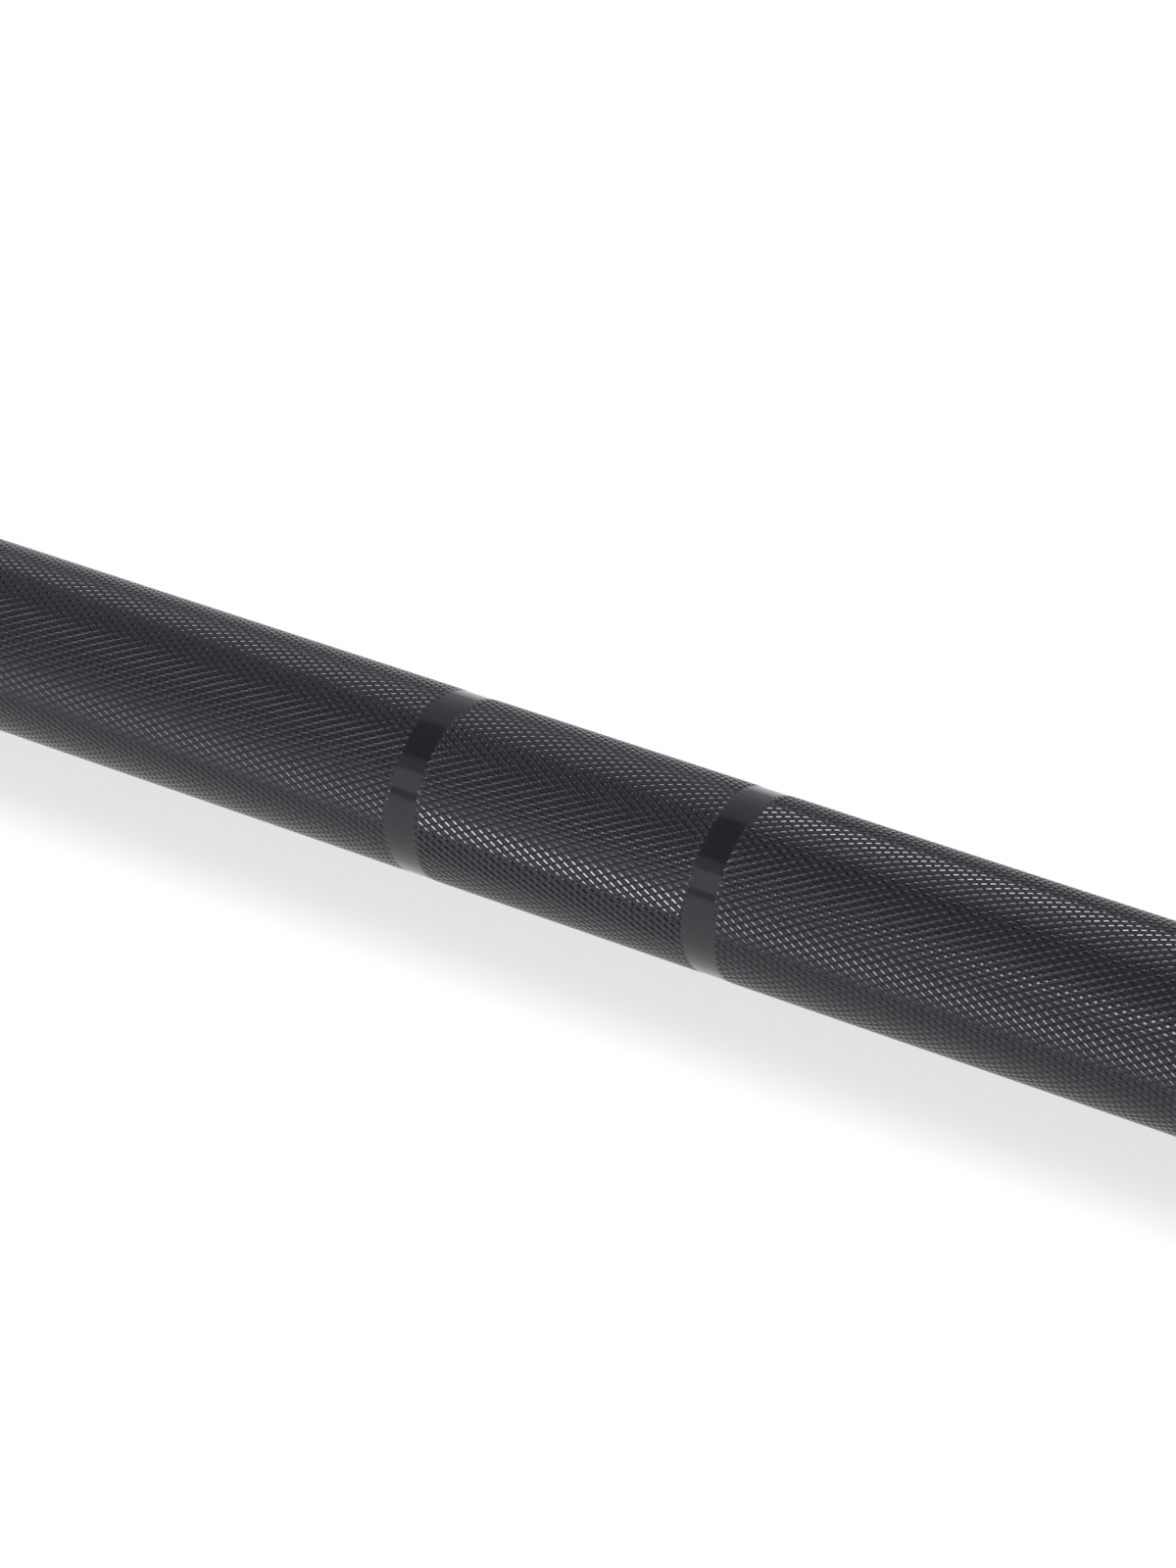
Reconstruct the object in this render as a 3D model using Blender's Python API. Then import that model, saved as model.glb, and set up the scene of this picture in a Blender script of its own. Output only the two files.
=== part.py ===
# A 2.2 m training barbell: one steel shaft, and at each end a sleeve that turns on two bushings.
# The bar lies along X on its collars, +Z is up, and the origin is on the floor under its middle.

import math

import bmesh
import bpy
from mathutils import Vector

MM = 0.001

# Driving dimensions of the whole bar
OVERALL_LENGTH = 2200 * MM
GRIP_LENGTH = 1310 * MM
SHAFT_RADIUS = 14 * MM
SLEEVE_RADIUS = 25 * MM
COLLAR_RADIUS = 37.5 * MM
COLLAR_WIDTH = 30 * MM

# Clearances: a gap between pieces that touch, and the running clearance of a bushing
GAP = 0.3 * MM
RUNNING = 0.06 * MM

# The grips: knurl fields, and two mark rings turned into each of them
KNURL_START = 210 * MM
KNURL_END = 645 * MM
MARK_PLACES = (405 * MM, 455 * MM)
MARK_WIDTH = 4.3 * MM
MARK_DEPTH = 0.15 * MM
SMOOTH_DEPTH = 0.1 * MM
KNURL_RAMP = 0.4 * MM

# The journal that carries a sleeve. X is measured outward from the collar's inner face.
HUB_X = GRIP_LENGTH / 2
SLEEVE_END = OVERALL_LENGTH / 2 - HUB_X
JOURNAL_RADIUS = 12.5 * MM
SHOULDER_X = 9 * MM
SHOULDER_CHAMFER = 0.3 * MM
JOURNAL_END = 428 * MM
END_CHAMFER = 1.2 * MM

# Thrust washers and flanged bushings
WASHER_THICKNESS = 1.8 * MM
WASHER_RADIUS = 16.6 * MM
BUSHING_RADIUS = 14.6 * MM
BUSHING_LENGTH = 60 * MM
FLANGE_RADIUS = 17.0 * MM
FLANGE_THICKNESS = 2.0 * MM
BUSHING_CHAMFER = 0.8 * MM

# Inner end, outward from the shoulder
INNER_WASHER_X = SHOULDER_X + GAP
INNER_BUSHING_X = INNER_WASHER_X + WASHER_THICKNESS + GAP
INNER_SEAT_X = INNER_BUSHING_X + FLANGE_THICKNESS + GAP

# Outer end, outward from the seat of the outer bushing's flange
OUTER_SEAT_X = 408 * MM
OUTER_BUSHING_X = OUTER_SEAT_X + GAP + FLANGE_THICKNESS
OUTER_WASHER_X = OUTER_BUSHING_X + GAP
SHAFT_RING_X = OUTER_WASHER_X + WASHER_THICKNESS + GAP
SHAFT_RING_THICKNESS = 1.2 * MM
SHAFT_RING_GROOVE_RADIUS = 11.6 * MM

# Bores of the sleeve
BORE_RADIUS = BUSHING_RADIUS + GAP
SEAT_RADIUS = FLANGE_RADIUS + GAP
CHAMBER_RADIUS = 17.9 * MM
CAP_SEAT_DEPTH = 12 * MM
CAP_RADIUS = 20.2 * MM
CAP_BORE_RADIUS = CAP_RADIUS + GAP
CAP_RING_THICKNESS = 1.4 * MM
CAP_RING_GROOVE_RADIUS = 21.8 * MM
SLEEVE_CHAMFER = (2.5 * MM, 1.5 * MM)
MOUTH_CHAMFER = 0.6 * MM
SPIGOT_RADIUS = 22.3 * MM
SPIGOT_CHAMFER = 0.5 * MM

# End cap
CAP_X = SLEEVE_END - CAP_SEAT_DEPTH + GAP
CAP_FLANGE = 5.6 * MM
CAP_BOSS_RADIUS = 14.8 * MM
CAP_BOSS_END = SLEEVE_END - 1.5 * MM
CAP_DISH_RADIUS = 11 * MM
CAP_DISH_DEPTH = 0.8 * MM
CAP_EDGE = 0.5 * MM
CAP_RING_X = CAP_X + CAP_FLANGE + GAP

# Collar, with the seal's pocket in its inboard web
WEB_THICKNESS = 6.3 * MM
SPIGOT_X = WEB_THICKNESS + GAP
COLLAR_MOUTH_RADIUS = SHAFT_RADIUS + 0.7 * MM
COLLAR_LIP = 1.6 * MM
SEAL_POCKET_RADIUS = 17.6 * MM
INBOARD_CHAMFER = 3 * MM
OUTBOARD_CHAMFER = 1.2 * MM
COLLAR_GROOVE_WIDTH = 3 * MM
COLLAR_GROOVE_DEPTH = 0.8 * MM
SOCKET_DEPTH = 3 * MM
SOCKET_X = COLLAR_WIDTH - SOCKET_DEPTH

# Dust seal: a ring with a lip that wipes the shaft
SEAL_X = COLLAR_LIP + GAP
SEAL_WIDTH = 4.1 * MM
SEAL_LIP_RADIUS = SHAFT_RADIUS + 0.35 * MM
SEAL_BACK_RADIUS = SHAFT_RADIUS + 1.4 * MM
SEAL_LIP_WIDTH = 1.3 * MM

# Snap rings: widths at the back and beside the lugs, and the lugs with their eyes
RING_BACK_WIDTH = 3.2 * MM
RING_FRONT_WIDTH = 2.2 * MM
RING_GAP = 3.0 * MM
LUG_RADIUS = 2.0 * MM
LUG_REACH = 3.0 * MM
EYE_RADIUS = 1.0 * MM

# Facets round the bar. A flat faces down, so the collars stand on flats of their own.
FACETS = 36
FINE_FACETS = 28
RING_STEPS = 28
LUG_STEPS = 7
EYE_FACETS = 10
AXIS_HEIGHT = COLLAR_RADIUS
SHARP_ANGLE = math.radians(28)


def clear_scene():
    for old in list(bpy.data.objects):
        bpy.data.objects.remove(old, do_unlink=True)


def metal(name, colour, roughness, metallic):
    """A Principled material of one colour."""
    material = bpy.data.materials.new(name)
    material.use_nodes = True
    shader = material.node_tree.nodes["Principled BSDF"]
    shader.inputs["Base Color"].default_value = (*colour, 1)
    shader.inputs["Roughness"].default_value = roughness
    shader.inputs["Metallic"].default_value = metallic
    return material


def black_coat():
    return metal("black_coat", (0.018, 0.018, 0.020), 0.28, 0.0)


def chrome():
    return metal("chrome", (0.62, 0.63, 0.65), 0.16, 1.0)


def turned_steel():
    return metal("turned_steel", (0.52, 0.52, 0.53), 0.30, 1.0)


def hardened_steel():
    return metal("hardened_steel", (0.42, 0.42, 0.43), 0.35, 1.0)


def spring_steel():
    return metal("spring_steel", (0.07, 0.07, 0.08), 0.40, 0.8)


def bronze():
    return metal("bronze", (0.60, 0.38, 0.17), 0.35, 1.0)


def rubber():
    return metal("rubber", (0.015, 0.015, 0.015), 0.80, 0.0)


def across_flats(radius, facets):
    """The corner radius of a faceted round whose flats lie at this radius."""
    return radius / math.cos(math.pi / facets)


def turned_mesh(name, section, facets, solid=False):
    """A section of (x, radius) points turned round X. A solid one starts and ends on the axis."""
    bm = bmesh.new()
    tilt = math.pi / facets
    points = [
        bm.verts.new((x, radius * math.cos(tilt), radius * math.sin(tilt))) for x, radius in section
    ]
    pairs = list(zip(points, points[1:]))
    if not solid:
        pairs.append((points[-1], points[0]))
    edges = [bm.edges.new(pair) for pair in pairs]
    bmesh.ops.spin(
        bm,
        geom=points + edges,
        cent=(0, 0, 0),
        axis=(1, 0, 0),
        angle=math.tau,
        steps=facets,
        use_merge=True,
    )
    bmesh.ops.remove_doubles(bm, verts=bm.verts, dist=MM / 1000)
    bmesh.ops.recalc_face_normals(bm, faces=bm.faces)
    return finished_mesh(name, bm)


def finished_mesh(name, bm):
    """The mesh of a bmesh, shaded smooth except over its edges."""
    mesh = bpy.data.meshes.new(name)
    bm.to_mesh(mesh)
    bm.free()
    mesh.shade_smooth()
    mesh.set_sharp_from_angle(angle=SHARP_ANGLE)
    return mesh


def place(name, mesh, material, hub=None):
    """An object of its own, carried by the empty on its sleeve's axis."""
    if not mesh.materials:
        mesh.materials.append(material)
    piece = bpy.data.objects.new(name, mesh)
    bpy.context.scene.collection.objects.link(piece)
    piece.parent = hub
    return piece


def sleeve_axis(side, direction):
    """An empty where the sleeve's axis meets the collar's inner face, with +X outward."""
    hub = bpy.data.objects.new(side + "_sleeve_axis", None)
    bpy.context.scene.collection.objects.link(hub)
    hub.location = (direction * HUB_X, 0, AXIS_HEIGHT)
    hub.rotation_euler.z = 0 if direction > 0 else math.pi
    hub.empty_display_size = COLLAR_RADIUS
    return hub


def half_shaft():
    """The right half of the shaft's outline, from beside the middle to the end of the journal."""
    smooth = SHAFT_RADIUS - SMOOTH_DEPTH
    outline = [(KNURL_START, smooth), (KNURL_START + KNURL_RAMP, SHAFT_RADIUS)]
    for place_x in MARK_PLACES:
        left = place_x - MARK_WIDTH / 2
        right = place_x + MARK_WIDTH / 2
        floor = SHAFT_RADIUS - MARK_DEPTH
        outline += [
            (left, SHAFT_RADIUS),
            (left + MARK_DEPTH, floor),
            (right - MARK_DEPTH, floor),
            (right, SHAFT_RADIUS),
        ]
    outline += [(KNURL_END - KNURL_RAMP, SHAFT_RADIUS), (KNURL_END, smooth)]
    shoulder = HUB_X + SHOULDER_X
    groove = HUB_X + SHAFT_RING_X - GAP
    groove_end = groove + SHAFT_RING_THICKNESS + 2 * GAP
    end = HUB_X + JOURNAL_END
    outline += [
        (shoulder - SHOULDER_CHAMFER, smooth),
        (shoulder, smooth - SHOULDER_CHAMFER),
        (shoulder, JOURNAL_RADIUS),
        (groove, JOURNAL_RADIUS),
        (groove, SHAFT_RING_GROOVE_RADIUS),
        (groove_end, SHAFT_RING_GROOVE_RADIUS),
        (groove_end, JOURNAL_RADIUS),
        (end - END_CHAMFER, JOURNAL_RADIUS),
        (end, JOURNAL_RADIUS - END_CHAMFER),
        (end, 0),
    ]
    return outline


def shaft():
    """The whole shaft: both halves of one outline, turned as a solid."""
    right = half_shaft()
    left = [(-x, radius) for x, radius in reversed(right)]
    piece = place("shaft", turned_mesh("shaft", left + right, FACETS, solid=True), black_coat())
    piece.location.z = AXIS_HEIGHT
    return piece


def collar_mesh():
    """The ring that the plates stop against. The sleeve enters its socket, and the spigot its bore."""
    rim = across_flats(COLLAR_RADIUS, FACETS)
    bore = across_flats(SPIGOT_RADIUS + GAP, FACETS)
    socket = across_flats(SLEEVE_RADIUS + GAP, FACETS)
    pocket = across_flats(SEAL_POCKET_RADIUS, FACETS)
    mouth = across_flats(COLLAR_MOUTH_RADIUS, FACETS)
    middle = COLLAR_WIDTH / 2
    half_groove = COLLAR_GROOVE_WIDTH / 2
    section = [
        (0, mouth),
        (0, rim - INBOARD_CHAMFER),
        (INBOARD_CHAMFER, rim),
        (middle - half_groove, rim),
        (middle - half_groove + COLLAR_GROOVE_DEPTH, rim - COLLAR_GROOVE_DEPTH),
        (middle + half_groove - COLLAR_GROOVE_DEPTH, rim - COLLAR_GROOVE_DEPTH),
        (middle + half_groove, rim),
        (COLLAR_WIDTH - OUTBOARD_CHAMFER, rim),
        (COLLAR_WIDTH, rim - OUTBOARD_CHAMFER),
        (COLLAR_WIDTH, socket),
        (SOCKET_X, socket),
        (SOCKET_X, bore),
        (WEB_THICKNESS, bore),
        (WEB_THICKNESS, pocket),
        (COLLAR_LIP, pocket),
        (COLLAR_LIP, mouth),
    ]
    return turned_mesh("collar", section, FACETS)


def sleeve_mesh():
    """The tube that the plates slide on, bored for the bushings, the rings and the cap."""
    seat = across_flats(SEAT_RADIUS, FACETS)
    bore = across_flats(BORE_RADIUS, FACETS)
    chamber = across_flats(CHAMBER_RADIUS, FACETS)
    cap_bore = across_flats(CAP_BORE_RADIUS, FACETS)
    ring_groove = across_flats(CAP_RING_GROOVE_RADIUS, FACETS)
    cap_seat = SLEEVE_END - CAP_SEAT_DEPTH
    groove = CAP_RING_X - GAP
    groove_end = groove + CAP_RING_THICKNESS + 2 * GAP
    run, drop = SLEEVE_CHAMFER
    section = [
        (SPIGOT_X, seat),
        (SPIGOT_X, SPIGOT_RADIUS - SPIGOT_CHAMFER),
        (SPIGOT_X + SPIGOT_CHAMFER, SPIGOT_RADIUS),
        (SOCKET_X + GAP, SPIGOT_RADIUS),
        (SOCKET_X + GAP, SLEEVE_RADIUS),
        (SLEEVE_END - run, SLEEVE_RADIUS),
        (SLEEVE_END, SLEEVE_RADIUS - drop),
        (SLEEVE_END, cap_bore + MOUTH_CHAMFER),
        (SLEEVE_END - MOUTH_CHAMFER, cap_bore),
        (groove_end, cap_bore),
        (groove_end, ring_groove),
        (groove, ring_groove),
        (groove, cap_bore),
        (cap_seat, cap_bore),
        (cap_seat, chamber),
        (OUTER_SEAT_X, chamber),
        (OUTER_SEAT_X, bore),
        (INNER_SEAT_X, bore),
        (INNER_SEAT_X, seat),
    ]
    return turned_mesh("sleeve", section, FACETS)


def bushing_mesh(name, flange_x, direction):
    """A flanged bushing. The flange starts at flange_x and the body runs on in the direction."""
    hole = across_flats(JOURNAL_RADIUS + RUNNING, FINE_FACETS)
    body = flange_x + direction * FLANGE_THICKNESS
    end = flange_x + direction * BUSHING_LENGTH
    section = [
        (flange_x, hole),
        (flange_x, FLANGE_RADIUS),
        (body, FLANGE_RADIUS),
        (body, BUSHING_RADIUS),
        (end - direction * BUSHING_CHAMFER, BUSHING_RADIUS),
        (end, BUSHING_RADIUS - BUSHING_CHAMFER),
        (end, hole),
    ]
    return turned_mesh(name, section, FINE_FACETS)


def washer_mesh(name, start):
    """A thrust washer round the journal."""
    hole = across_flats(JOURNAL_RADIUS + GAP, FINE_FACETS)
    section = [
        (start, hole),
        (start, WASHER_RADIUS),
        (start + WASHER_THICKNESS, WASHER_RADIUS),
        (start + WASHER_THICKNESS, hole),
    ]
    return turned_mesh(name, section, FINE_FACETS)


def seal_mesh():
    """A rubber ring that fills the collar's pocket and narrows to a lip at the shaft."""
    lip = across_flats(SEAL_LIP_RADIUS, FINE_FACETS)
    back = across_flats(SEAL_BACK_RADIUS, FINE_FACETS)
    rim = SEAL_POCKET_RADIUS - GAP
    section = [
        (SEAL_X, lip),
        (SEAL_X, rim),
        (SEAL_X + SEAL_WIDTH, rim),
        (SEAL_X + SEAL_WIDTH, back),
        (SEAL_X + SEAL_LIP_WIDTH, lip),
    ]
    return turned_mesh("dust_seal", section, FINE_FACETS)


def cap_mesh():
    """A turned disc: a flange behind the snap ring, and a boss with a shallow dish."""
    flange_end = CAP_X + CAP_FLANGE
    section = [
        (CAP_X, 0),
        (CAP_X, CAP_RADIUS - CAP_EDGE),
        (CAP_X + CAP_EDGE, CAP_RADIUS),
        (flange_end, CAP_RADIUS),
        (flange_end, CAP_BOSS_RADIUS),
        (CAP_BOSS_END - CAP_EDGE, CAP_BOSS_RADIUS),
        (CAP_BOSS_END, CAP_BOSS_RADIUS - CAP_EDGE),
        (CAP_BOSS_END, CAP_DISH_RADIUS),
        (CAP_BOSS_END - CAP_DISH_DEPTH, CAP_DISH_RADIUS - CAP_DISH_DEPTH),
        (CAP_BOSS_END - CAP_DISH_DEPTH, 0),
    ]
    return turned_mesh("end_cap", section, FACETS, solid=True)


def lug_arc(seat_radius, reach, side):
    """The rounded end of one lug, from the ring's gap round to the ring's own edge."""
    toward = 1 if reach > 0 else -1
    centre = Vector((side * (RING_GAP / 2 + LUG_RADIUS), seat_radius + reach))
    first = math.pi
    last = -math.radians(25)
    arc = []
    for step in range(LUG_STEPS + 1):
        angle = first + (last - first) * step / LUG_STEPS
        away = Vector((side * math.cos(angle), toward * math.sin(angle)))
        arc.append(centre + LUG_RADIUS * away)
    return centre, arc


def ring_outline(seat_radius, outward):
    """A snap ring's outline. Its seat edge is round, and it widens from the lugs to the back."""
    toward = 1 if outward else -1
    reach = toward * LUG_REACH
    half_gap = math.asin(RING_GAP / 2 / seat_radius)
    eye_right, lug_right = lug_arc(seat_radius, reach, 1)
    eye_left, lug_left = lug_arc(seat_radius, reach, -1)
    tip = lug_right[-1]
    free_start = math.atan2(tip.x, tip.y) + math.radians(2)
    outline = []
    for step in range(RING_STEPS + 1):
        angle = -half_gap - (math.tau - 2 * half_gap) * step / RING_STEPS
        outline.append(seat_radius * Vector((math.sin(angle), math.cos(angle))))
    outline += lug_right
    for step in range(RING_STEPS + 1):
        angle = free_start + (math.tau - 2 * free_start) * step / RING_STEPS
        swell = (1 - math.cos(angle)) / 2
        width = RING_FRONT_WIDTH + (RING_BACK_WIDTH - RING_FRONT_WIDTH) * swell
        radius = seat_radius + toward * width
        outline.append(radius * Vector((math.sin(angle), math.cos(angle))))
    outline += reversed(lug_left)
    return outline, (eye_left, eye_right)


def snap_ring(name, start, thickness, seat_radius, outward, hub, material):
    """A stamped snap ring with an eye in each lug for the pliers."""
    outline, eyes = ring_outline(seat_radius, outward)
    bm = bmesh.new()
    face = bm.faces.new([bm.verts.new((start, point.x, point.y)) for point in outline])
    grown = bmesh.ops.extrude_face_region(bm, geom=[face])["geom"]
    moved = [part for part in grown if isinstance(part, bmesh.types.BMVert)]
    bmesh.ops.translate(bm, verts=moved, vec=(thickness, 0, 0))
    bmesh.ops.recalc_face_normals(bm, faces=bm.faces)
    ring = place(name, finished_mesh(name, bm), material, hub)
    cutter = eye_cutter(name + "_eyes", start + thickness / 2, eyes, 3 * thickness, hub)
    cut = ring.modifiers.new("eyes", "BOOLEAN")
    cut.operation = "DIFFERENCE"
    cut.solver = "EXACT"
    cut.object = cutter
    return ring


def eye_cutter(name, middle, eyes, length, hub):
    """Two short rods along X, which cut the eyes of a snap ring."""
    bm = bmesh.new()
    for eye in eyes:
        rod = bmesh.ops.create_cone(
            bm,
            cap_ends=True,
            segments=EYE_FACETS,
            radius1=EYE_RADIUS,
            radius2=EYE_RADIUS,
            depth=length,
        )["verts"]
        for vert in rod:
            vert.co = Vector((middle + vert.co.z, eye.x + vert.co.x, eye.y + vert.co.y))
    bmesh.ops.recalc_face_normals(bm, faces=bm.faces)
    mesh = bpy.data.meshes.new(name)
    bm.to_mesh(mesh)
    bm.free()
    cutter = bpy.data.objects.new(name, mesh)
    bpy.context.scene.collection.objects.link(cutter)
    cutter.parent = hub
    cutter.hide_render = True
    cutter.display_type = "WIRE"
    return cutter


def turned_parts():
    """The meshes and materials of one end, by name. Both ends use the same ones."""
    steel = chrome()
    brass = bronze()
    washer = hardened_steel()
    return {
        "collar": (collar_mesh(), steel),
        "sleeve": (sleeve_mesh(), steel),
        "inner_bushing": (bushing_mesh("inner_bushing", INNER_BUSHING_X, 1), brass),
        "outer_bushing": (bushing_mesh("outer_bushing", OUTER_BUSHING_X, -1), brass),
        "inner_thrust_washer": (washer_mesh("inner_thrust_washer", INNER_WASHER_X), washer),
        "outer_thrust_washer": (washer_mesh("outer_thrust_washer", OUTER_WASHER_X), washer),
        "end_cap": (cap_mesh(), turned_steel()),
        "dust_seal": (seal_mesh(), rubber()),
    }


def build():
    clear_scene()
    shaft()
    parts = turned_parts()
    spring = spring_steel()
    shaft_seat = across_flats(SHAFT_RING_GROOVE_RADIUS + GAP, RING_STEPS)
    cap_seat = CAP_RING_GROOVE_RADIUS - GAP
    for side, direction in (("right", 1), ("left", -1)):
        hub = sleeve_axis(side, direction)
        for name, (mesh, material) in parts.items():
            place(side + "_" + name, mesh, material, hub)
        snap_ring(
            side + "_shaft_snap_ring",
            SHAFT_RING_X,
            SHAFT_RING_THICKNESS,
            shaft_seat,
            True,
            hub,
            spring,
        )
        snap_ring(
            side + "_cap_snap_ring",
            CAP_RING_X,
            CAP_RING_THICKNESS,
            cap_seat,
            False,
            hub,
            spring,
        )


build()
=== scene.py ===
# The looks of a 2.2 m training barbell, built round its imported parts. Lengths are in metres.

import math

import bmesh
import bpy
import numpy as np
from mathutils import Matrix, Vector

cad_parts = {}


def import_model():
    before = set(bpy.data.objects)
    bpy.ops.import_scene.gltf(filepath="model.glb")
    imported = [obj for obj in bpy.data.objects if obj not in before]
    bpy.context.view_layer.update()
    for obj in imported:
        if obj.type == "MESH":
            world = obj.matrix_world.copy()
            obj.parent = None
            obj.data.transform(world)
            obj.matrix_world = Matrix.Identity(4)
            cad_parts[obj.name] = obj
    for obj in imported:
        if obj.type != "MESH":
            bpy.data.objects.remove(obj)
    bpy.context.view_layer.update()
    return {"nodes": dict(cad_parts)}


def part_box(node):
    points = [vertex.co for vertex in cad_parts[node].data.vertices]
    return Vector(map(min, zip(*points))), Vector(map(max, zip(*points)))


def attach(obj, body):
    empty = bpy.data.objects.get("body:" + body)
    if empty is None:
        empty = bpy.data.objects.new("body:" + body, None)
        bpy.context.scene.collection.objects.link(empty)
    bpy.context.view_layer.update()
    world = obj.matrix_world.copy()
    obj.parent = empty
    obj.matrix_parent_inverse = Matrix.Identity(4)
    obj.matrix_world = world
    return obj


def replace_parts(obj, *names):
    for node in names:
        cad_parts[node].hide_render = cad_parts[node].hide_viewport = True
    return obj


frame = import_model()

MM = 0.001
SIDES = ((1, "right"), (-1, "left"))

# Places and sizes read from the frame
SHAFT_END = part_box("shaft")[1].x
COLLAR_LOW, COLLAR_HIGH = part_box("right_collar")
SLEEVE_LOW, SLEEVE_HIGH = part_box("right_sleeve")
CAP_LOW, CAP_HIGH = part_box("right_end_cap")
CAP_RING_LOW, CAP_RING_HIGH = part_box("right_cap_snap_ring")
SEAL_LOW, SEAL_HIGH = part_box("right_dust_seal")
SHAFT_RING_LOW, SHAFT_RING_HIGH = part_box("right_shaft_snap_ring")
AXIS = Vector((0, 0, (COLLAR_LOW.z + COLLAR_HIGH.z) / 2))
HUB_X = COLLAR_LOW.x
COLLAR_WIDTH = COLLAR_HIGH.x - HUB_X
COLLAR_RADIUS = COLLAR_HIGH.z - AXIS.z
SLEEVE_RADIUS = SLEEVE_HIGH.y
SLEEVE_END = SLEEVE_HIGH.x - HUB_X
CAP_RADIUS = CAP_HIGH.y
SEAL_RADIUS = SEAL_HIGH.y

# The room between a seated piece and its seat
GAP = 0.3 * MM

# The grips. On each side two mark rings part the knurl into three fields, which fade out at
# their ends.
CREST_RADIUS = 14 * MM
SMOOTH_RADIUS = CREST_RADIUS - 0.1 * MM
MARK_RADIUS = CREST_RADIUS - 0.06 * MM
MARK_WIDTH = 4.3 * MM
MARK_PLACES = (405 * MM, 455 * MM)
KNURL_START = 210 * MM
KNURL_END = 645 * MM
KNURL_FADE = 0.7 * MM
STEP_DOWN = 0.4 * MM

# The knurl. Each field of one side has its diamonds' length, then the half widths of its rolled
# grooves in the two families, which the rolls pressed unevenly.
DIAMONDS_ROUND = 68
FIELDS = (
    (2.18 * MM, 0.16 * MM, 0.18 * MM),
    (2.23 * MM, 0.115 * MM, 0.245 * MM),
    (2.17 * MM, 0.205 * MM, 0.18 * MM),
)
GROOVE_DEPTH = 0.25 * MM
KNURL_ROUNDING = 0.055 * MM

# Rows of the net beyond each end of a field, which that end cuts off
SPARE_ROWS = 2

# The net's stations on each flank of a groove, in roundings: one out from the groove's middle, one
# in from its rim, and one out beyond that
FOOT_OUT = 1.5
SHOULDER_IN = 1.1
RIM_OUT = 1.5

# The shaft's ends
SHOULDER = HUB_X + 9 * MM
JOURNAL_RADIUS = 12.5 * MM
JOURNAL_CHAMFER = 1.2 * MM
RING_GROOVE_RADIUS = 11.6 * MM
JOURNAL_EDGE = 0.1 * MM

# The collar and the sleeve, with X counted outward from the collar's inner face. The groove has
# its width and depth, and the sleeve's outer chamfer has its length and drop.
COLLAR_MOUTH = 14.7 * MM
COLLAR_LIP = 1.6 * MM
SEAL_POCKET = SEAL_RADIUS + GAP
WEB_X = 6.3 * MM
SOCKET_X = COLLAR_WIDTH - 3 * MM
SOCKET_RADIUS = SLEEVE_RADIUS + GAP
SPIGOT_RADIUS = 22.3 * MM
SPIGOT_CHAMFER = 0.5 * MM
INBOARD_CHAMFER = 3 * MM
OUTBOARD_CHAMFER = 1.2 * MM
COLLAR_GROOVE = (3 * MM, 0.8 * MM)
SLEEVE_CHAMFER = (2.5 * MM, 1.5 * MM)
BUSHING_SEAT = 17.3 * MM
BUSHING_BORE = 14.9 * MM
INNER_SEAT = 13.7 * MM
OUTER_SEAT = 408 * MM
CHAMBER = 17.9 * MM
CAP_SEAT = SLEEVE_END - 12 * MM
CAP_BORE = CAP_RADIUS + GAP
CAP_RING_GROOVE = 21.8 * MM
MOUTH_CHAMFER = 0.6 * MM

# The end cap, the snap ring that holds it, and the seal
CAP_FLANGE = 5.6 * MM
CAP_BOSS = 14.8 * MM
CAP_DISH = 11 * MM
CAP_DISH_DEPTH = 0.8 * MM
CAP_EDGE = 0.5 * MM
RING_BACK_WIDTH = 3.2 * MM
RING_FRONT_WIDTH = 2.2 * MM
RING_GAP = 3.0 * MM
RING_EDGE = 0.12 * MM
LUG_RADIUS = 2.0 * MM
LUG_REACH = 3.0 * MM
LUG_TURN_END = math.radians(-25)
LUG_BLEND = math.radians(2)
EYE_RADIUS = 1.0 * MM
SEAL_LIP = 14.35 * MM
SEAL_BACK = 15.4 * MM
SEAL_LIP_WIDTH = 1.3 * MM

# The black coat, whose gloss and colour both lean to blue
COAT_IOR = 1.56
COAT_TINT = (0.925, 0.922, 1.0, 1)
COAT_BLUE = 1.2

# The middle range of a noise, over which a finish varies
NOISE_MIDDLE = (0.3, 0.7)

# Fineness
ROUND = 144
RING_STEPS = 120
LUG_STEPS = 20
EYE_STEPS = 24
EDGE_STEPS = 2
SHARP = math.radians(28)
RELIEF_STEPS = 96
MOST_FACES = 99000

# Distances within which points become one, and under which a face has no length
TURNED_MERGE = MM / 1e3
RING_MERGE = MM / 1e4
KNURL_MERGE = MM / 1e5
NO_LENGTH = MM / 1e6

# What the map round the bar leaves free at either end, in turns
WRAP_MARGIN = 0.05

# The camera, by its place and by the bearing and height of the line that it looks along
CAMERA_PLACE = Vector((753.8, -530.1, 443.1)) * MM
CAMERA_BEARING = math.radians(31.54)
CAMERA_HEIGHT = math.radians(32.58)
CAMERA_LENS = 117.7

# The lamps, which stand round the grip. Each has its name, its bearing and height in degrees, and
# its face's size, radiance and colour.
LAMP_AIM = Vector((430, 0, 40)) * MM
LAMP_DISTANCE = 6
LAMPS = (
    ("key", 33, 54.5, (2.7, 2.3), 17, (1, 1, 1)),
    ("side", -14, 34, (1.25, 1.6), 10, (1, 1, 1)),
    ("fill", -30, 23, (1.4, 2.2), 0.48, (0.95, 0.96, 1.15)),
)

# The room's light, by the sine of the height above the horizon
ROOM = ((0.0, 1.0), (0.07, 0.95), (0.10, 0.55), (0.25, 0.65), (0.6, 0.60), (1.0, 0.58))
ROOM_TINT = (0.98, 0.985, 1.04)

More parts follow.
